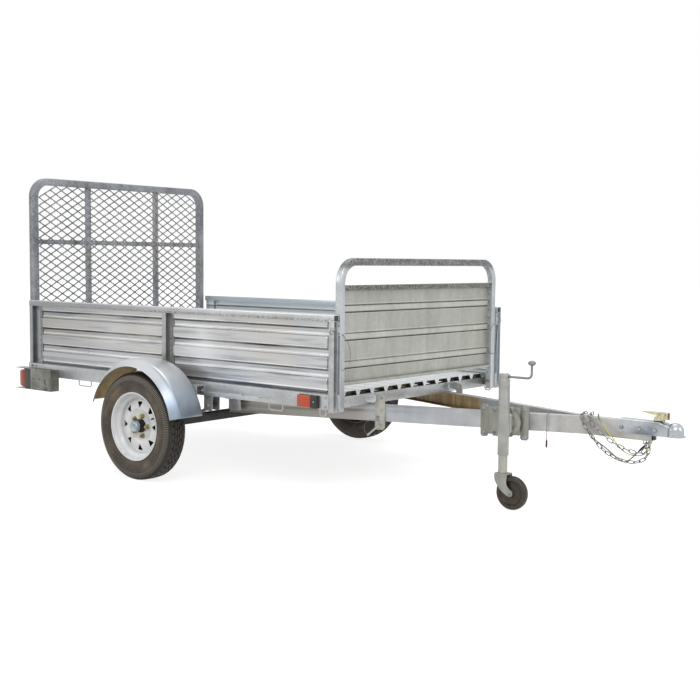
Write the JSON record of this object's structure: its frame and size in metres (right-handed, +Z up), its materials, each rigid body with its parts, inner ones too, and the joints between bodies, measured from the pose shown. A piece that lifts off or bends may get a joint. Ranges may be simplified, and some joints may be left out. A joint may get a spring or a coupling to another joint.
{
  "type": "utility trailer",
  "caption": "Galvanised single-axle utility trailer with ribbed side walls, lattice ramp gate, folding front gate, tilting bed, A-frame drawbar, ball coupler and swivel jack with a caster.",
  "frame": {"origin": "middle of the overall length and width, on the ground", "axes": "+X forward to the coupler, +Y to the trailer's left, +Z up"},
  "size_m": [3.627, 1.892, 1.539],
  "materials": {
    "amber_lens": "amber lens",
    "black_plastic": "black moulding",
    "dark_steel": "black paint, satin",
    "galvanised": "hot-dip galvanised, spangled, satin",
    "grey_paint": "grey paint, satin",
    "grey_sheath": "grey wire sheath",
    "lead_sheath": "yellow and green wire sheath",
    "red_lens": "red lens",
    "red_plastic": "dark red moulding",
    "rubber": "hard rubber tread",
    "tyre": "matt rubber",
    "white_paint": "white paint, glossy",
    "zinc": "yellow zinc plated"
  },
  "bodies": {
    "drawbar": {"drawbar_beam_right": "galvanised", "drawbar_beam_left": "galvanised", "coupler": "galvanised", "coupler_latch": "zinc", "tilt_latch_right": "zinc", "tilt_latch_left": "zinc", "jack_mount": "galvanised", "safety_chain_right": "galvanised", "safety_chain_left": "galvanised", "ground_lead": "lead_sheath", "harness_lead": "grey_sheath", "harness_plug": "black_plastic", "short_lead": "grey_sheath", "lead_connector": "red_plastic"},
    "bed": {"bed_rail_right": "galvanised", "bed_rail_left": "galvanised", "crossmember_front": "galvanised", "crossmember_tilt": "galvanised", "crossmember_middle": "galvanised", "crossmember_rear": "galvanised", "floor": "galvanised", "side_frame_right": "galvanised", "side_frame_left": "galvanised", "side_panel_rear_right": "galvanised", "side_panel_rear_left": "galvanised", "side_panel_front_right": "galvanised", "side_panel_front_left": "galvanised", "axle": "dark_steel", "leaf_spring_right": "dark_steel", "leaf_spring_left": "dark_steel", "fender_right": "galvanised", "fender_left": "galvanised", "tail_lamp_bracket_right": "galvanised", "tail_lamp_bracket_left": "galvanised", "tail_lamp_housing_right": "black_plastic", "tail_lamp_housing_left": "black_plastic", "tail_lamp_lens_right": "red_lens", "tail_lamp_lens_left": "red_lens", "side_marker_base_right": "black_plastic", "side_marker_base_left": "black_plastic", "side_marker_lens_right": "amber_lens", "side_marker_lens_left": "amber_lens"},
    "front_gate": {"front_gate_hoop": "galvanised", "front_gate_panel": "galvanised"},
    "ramp_gate": {"ramp_gate_frame": "galvanised", "ramp_gate_lattice": "galvanised"},
    "wheel_right": {"rim_right": "white_paint", "tyre_right": "tyre", "hub_right": "grey_paint"},
    "wheel_left": {"rim_left": "white_paint", "tyre_left": "tyre", "hub_left": "grey_paint"},
    "jack": {"jack_column": "grey_paint", "jack_crank": "grey_paint"},
    "leg": {"jack_leg": "zinc"},
    "caster": {"caster_fork": "grey_paint"},
    "roller": {"caster_wheel": "rubber"}
  },
  "joints": [
    {"name": "bed_tilt", "type": "hinge", "parent": "drawbar", "child": "bed", "pos_m": [-0.2485, 0, 0.375], "axis": [0, -1, 0], "range_deg": [0, 15]},
    {"name": "front_gate_hinge", "type": "hinge", "parent": "bed", "child": "front_gate", "pos_m": [0.4665, 0, 0.455], "axis": [0, 1, 0], "range_deg": [0, 70]},
    {"name": "ramp_gate_hinge", "type": "hinge", "parent": "bed", "child": "ramp_gate", "pos_m": [-1.7895, 0, 0.462], "axis": [0, -1, 0], "range_deg": [0, 114]},
    {"name": "wheel_spin_right", "type": "hinge", "parent": "bed", "child": "wheel_right", "pos_m": [-0.6035, -0.864, 0.2655], "axis": [0, 1, 0], "continuous": true},
    {"name": "wheel_spin_left", "type": "hinge", "parent": "bed", "child": "wheel_left", "pos_m": [-0.6035, 0.864, 0.2655], "axis": [0, 1, 0], "continuous": true},
    {"name": "jack_swing", "type": "hinge", "parent": "drawbar", "child": "jack", "pos_m": [1.0865, -0.24658, 0.372], "axis": [-0.3219, 0.9468, 0], "range_deg": [0, 90]},
    {"name": "jack_slide", "type": "slide", "parent": "jack", "child": "leg", "axis": [0, 0, -1], "range_m": [-0.07, 0.15]},
    {"name": "caster_swivel", "type": "hinge", "parent": "leg", "child": "caster", "pos_m": [1.0865, -0.24658, 0.1603], "axis": [0, 0, 1], "continuous": true},
    {"name": "caster_roll", "type": "hinge", "parent": "caster", "child": "roller", "pos_m": [1.1365, -0.24658, 0.075], "axis": [0, 1, 0], "continuous": true}
  ]
}
